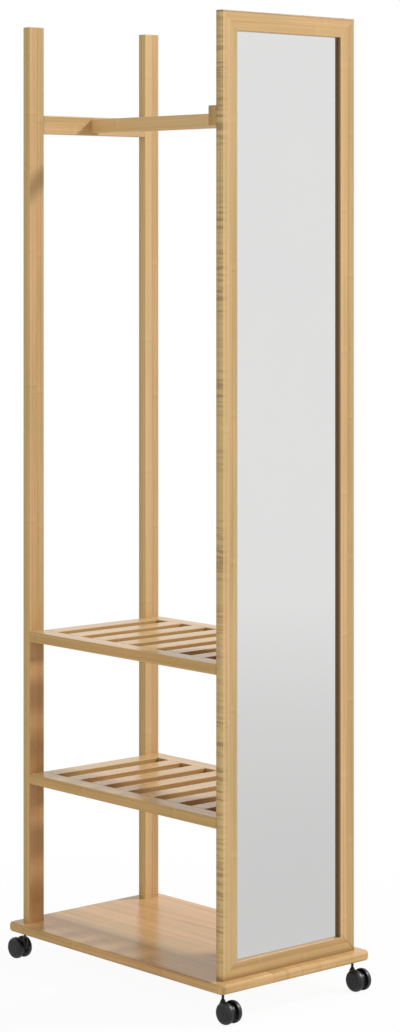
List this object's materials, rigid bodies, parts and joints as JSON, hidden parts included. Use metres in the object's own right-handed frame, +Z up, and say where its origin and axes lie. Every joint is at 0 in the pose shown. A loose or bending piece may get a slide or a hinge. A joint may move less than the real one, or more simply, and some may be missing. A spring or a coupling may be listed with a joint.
{
  "type": "mobile mirror with storage",
  "caption": "Tall framed mirror on a wheeled base board, with posts, a hanging rail and slatted shelves behind it; its casters swivel and roll.",
  "frame": {"origin": "on the floor, under the middle of the base board", "axes": "+X is the way the mirror faces, +Y is the right-hand side of someone standing before it and looking at it, +Z is up"},
  "size_m": [0.592, 0.34, 1.648],
  "materials": {
    "bamboo": "satin lacquered laminated bamboo",
    "mirror_glass": "silvered",
    "backing_board": "matt hardboard",
    "dowel_wood": "plain",
    "steel": "zinc plated",
    "blackened_steel": "black oxide",
    "caster_plastic": "gloss"
  },
  "bodies": {
    "stand": {"base_board": "bamboo", "post_left": "bamboo", "post_right": "bamboo", "post_cross_rail": "bamboo", "frame_stile_left": "bamboo", "frame_stile_right": "bamboo", "frame_rail_bottom": "bamboo", "frame_rail_top": "bamboo", "mirror_glass": "mirror_glass", "mirror_backing": "backing_board", "mirror_cross_rail": "bamboo", "hanging_rail": "bamboo", "lower_shelf_rail_left": "bamboo", "lower_shelf_rail_right": "bamboo", "upper_shelf_rail_left": "bamboo", "upper_shelf_rail_right": "bamboo", "lower_shelf_slat_1": "bamboo", "lower_shelf_slat_2": "bamboo", "lower_shelf_slat_3": "bamboo", "lower_shelf_slat_4": "bamboo", "lower_shelf_slat_5": "bamboo", "lower_shelf_slat_6": "bamboo", "lower_shelf_slat_7": "bamboo", "lower_shelf_slat_8": "bamboo", "upper_shelf_slat_1": "bamboo", "upper_shelf_slat_2": "bamboo", "upper_shelf_slat_3": "bamboo", "upper_shelf_slat_4": "bamboo", "upper_shelf_slat_5": "bamboo", "upper_shelf_slat_6": "bamboo", "upper_shelf_slat_7": "bamboo", "upper_shelf_slat_8": "bamboo", "upright_screws": "steel", "shelf_screws": "steel", "cross_rail_screws": "steel", "hanging_rail_screws": "steel", "clip_screws": "steel", "shelf_dowels": "dowel_wood", "cross_rail_dowels": "dowel_wood", "mitre_dowels": "dowel_wood", "backing_clips": "steel", "caster_stems": "blackened_steel", "caster_inserts": "steel"},
    "caster_rear_left_swivel": {"caster_rear_left_hood": "caster_plastic", "caster_rear_left_axle": "steel"},
    "caster_rear_left_wheel_left_body": {"caster_rear_left_wheel_left": "caster_plastic"},
    "caster_rear_left_wheel_right_body": {"caster_rear_left_wheel_right": "caster_plastic"},
    "caster_rear_right_swivel": {"caster_rear_right_hood": "caster_plastic", "caster_rear_right_axle": "steel"},
    "caster_rear_right_wheel_left_body": {"caster_rear_right_wheel_left": "caster_plastic"},
    "caster_rear_right_wheel_right_body": {"caster_rear_right_wheel_right": "caster_plastic"},
    "caster_front_left_swivel": {"caster_front_left_hood": "caster_plastic", "caster_front_left_axle": "steel"},
    "caster_front_left_wheel_left_body": {"caster_front_left_wheel_left": "caster_plastic"},
    "caster_front_left_wheel_right_body": {"caster_front_left_wheel_right": "caster_plastic"},
    "caster_front_right_swivel": {"caster_front_right_hood": "caster_plastic", "caster_front_right_axle": "steel"},
    "caster_front_right_wheel_left_body": {"caster_front_right_wheel_left": "caster_plastic"},
    "caster_front_right_wheel_right_body": {"caster_front_right_wheel_right": "caster_plastic"}
  },
  "joints": [
    {"name": "caster_rear_left_turn", "type": "hinge", "parent": "stand", "child": "caster_rear_left_swivel", "pos_m": [-0.2625, -0.1475, 0.037], "axis": [0, 0, 1], "continuous": true},
    {"name": "caster_rear_left_wheel_left_spin", "type": "hinge", "parent": "caster_rear_left_swivel", "child": "caster_rear_left_wheel_left_body", "pos_m": [-0.2775, -0.1475, 0.0185], "axis": [0, 1, 0], "continuous": true},
    {"name": "caster_rear_left_wheel_right_spin", "type": "hinge", "parent": "caster_rear_left_swivel", "child": "caster_rear_left_wheel_right_body", "pos_m": [-0.2775, -0.1475, 0.0185], "axis": [0, 1, 0], "continuous": true},
    {"name": "caster_rear_right_turn", "type": "hinge", "parent": "stand", "child": "caster_rear_right_swivel", "pos_m": [-0.2625, 0.1475, 0.037], "axis": [0, 0, 1], "continuous": true},
    {"name": "caster_rear_right_wheel_left_spin", "type": "hinge", "parent": "caster_rear_right_swivel", "child": "caster_rear_right_wheel_left_body", "pos_m": [-0.2775, 0.1475, 0.0185], "axis": [0, 1, 0], "continuous": true},
    {"name": "caster_rear_right_wheel_right_spin", "type": "hinge", "parent": "caster_rear_right_swivel", "child": "caster_rear_right_wheel_right_body", "pos_m": [-0.2775, 0.1475, 0.0185], "axis": [0, 1, 0], "continuous": true},
    {"name": "caster_front_left_turn", "type": "hinge", "parent": "stand", "child": "caster_front_left_swivel", "pos_m": [0.2625, -0.1475, 0.037], "axis": [0, 0, 1], "continuous": true},
    {"name": "caster_front_left_wheel_left_spin", "type": "hinge", "parent": "caster_front_left_swivel", "child": "caster_front_left_wheel_left_body", "pos_m": [0.2775, -0.1475, 0.0185], "axis": [0, 1, 0], "continuous": true},
    {"name": "caster_front_left_wheel_right_spin", "type": "hinge", "parent": "caster_front_left_swivel", "child": "caster_front_left_wheel_right_body", "pos_m": [0.2775, -0.1475, 0.0185], "axis": [0, 1, 0], "continuous": true},
    {"name": "caster_front_right_turn", "type": "hinge", "parent": "stand", "child": "caster_front_right_swivel", "pos_m": [0.2625, 0.1475, 0.037], "axis": [0, 0, 1], "continuous": true},
    {"name": "caster_front_right_wheel_left_spin", "type": "hinge", "parent": "caster_front_right_swivel", "child": "caster_front_right_wheel_left_body", "pos_m": [0.2775, 0.1475, 0.0185], "axis": [0, 1, 0], "continuous": true},
    {"name": "caster_front_right_wheel_right_spin", "type": "hinge", "parent": "caster_front_right_swivel", "child": "caster_front_right_wheel_right_body", "pos_m": [0.2775, 0.1475, 0.0185], "axis": [0, 1, 0], "continuous": true}
  ]
}
